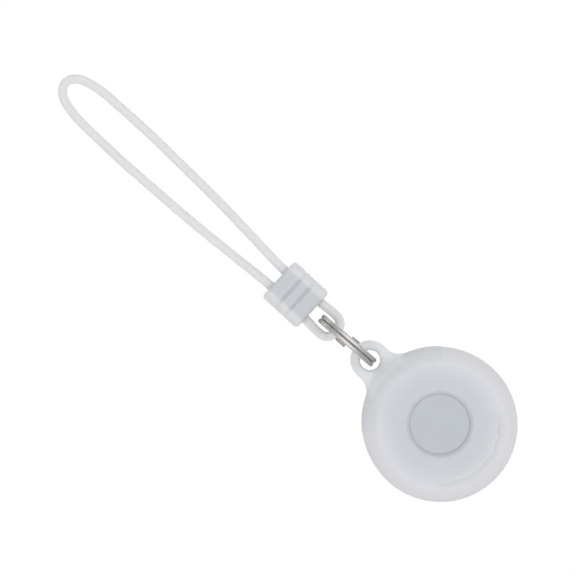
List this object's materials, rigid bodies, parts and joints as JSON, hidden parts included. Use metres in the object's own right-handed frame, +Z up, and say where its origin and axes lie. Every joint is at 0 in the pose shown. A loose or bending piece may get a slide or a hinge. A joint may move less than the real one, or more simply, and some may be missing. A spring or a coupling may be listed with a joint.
{
  "type": "tracker tag holder",
  "caption": "Soft round case with a lug, holding a round tracker tag, on a split ring with a cord loop and a ribbed sliding bead.",
  "frame": {"origin": "on the resting plane, under the middle of the box round the case and split ring", "axes": "+X along the strap, from the case to the cord loop's end; +Z up, out of the face with the small window"},
  "size_m": [0.1493, 0.039, 0.0178],
  "materials": {
    "case_silicone": "satin translucent silicone",
    "tag_plastic": "glossy white",
    "frame_plastic": "moulded, matt",
    "coil_copper": "lacquered copper wire",
    "magnet_steel": "plated, satin",
    "cup_steel": "pressed, satin",
    "board_green": "solder mask, satin",
    "chip_black": "moulded epoxy, matt",
    "shield_metal": "tinned can",
    "small_parts": "ceramic with tinned ends",
    "antenna_plate": "gold plated",
    "contact_strip": "gold plated spring strip",
    "cell_steel": "nickel plated",
    "cell_seal_plastic": "moulded",
    "cell_filling": "pressed powder",
    "cover_steel": "satin, fine brushed",
    "seal_rubber": "soft, matt",
    "ring_steel": "nickel plated, polished",
    "cord_silicone": "satin translucent silicone",
    "slider_silicone": "satin translucent silicone"
  },
  "bodies": {
    "case": {"case_shell": "case_silicone"},
    "tag": {"front_shell": "tag_plastic", "back_frame": "frame_plastic", "voice_coil": "coil_copper", "speaker_magnet": "magnet_steel", "magnet_cup": "cup_steel", "circuit_board": "board_green", "main_chip": "chip_black", "radio_chip": "shield_metal", "board_parts": "small_parts", "antenna_loop": "antenna_plate", "plus_contacts": "contact_strip", "minus_contact": "contact_strip", "cell_can": "cell_steel", "cell_seal": "cell_seal_plastic", "cell_pellet": "cell_filling", "cell_cap": "cell_steel"},
    "battery_cover": {"battery_cover": "cover_steel", "cover_ring": "frame_plastic", "cover_seal": "seal_rubber"},
    "split_ring": {"split_ring": "ring_steel"},
    "strap": {"strap_cord": "cord_silicone"},
    "slider": {"strap_slider": "slider_silicone"}
  },
  "joints": [
    {"name": "tag_spin", "type": "hinge", "parent": "case", "child": "tag", "pos_m": [-0.0106, 0, 0.0053], "axis": [0, 0, 1], "continuous": true},
    {"name": "cover_twist", "type": "hinge", "parent": "tag", "child": "battery_cover", "pos_m": [-0.0106, 0, 0.009], "axis": [0, 0, 1], "range_deg": [0, 20]},
    {"name": "ring_swing", "type": "hinge", "parent": "case", "child": "split_ring", "pos_m": [0.0136, 0, 0.0055], "axis": [0, 0, 1], "range_deg": [-92, 88]},
    {"name": "strap_lift", "type": "hinge", "parent": "split_ring", "child": "strap", "pos_m": [0.0212, 0.00027, 0.0089], "axis": [0.0349, -0.9994, 0], "range_deg": [-40, 178]},
    {"name": "slider_slide", "type": "slide", "parent": "strap", "child": "slider", "axis": [1, 0, 0], "range_m": [-0.0015, 0.058], "deforming": ["strap_cord"]}
  ]
}
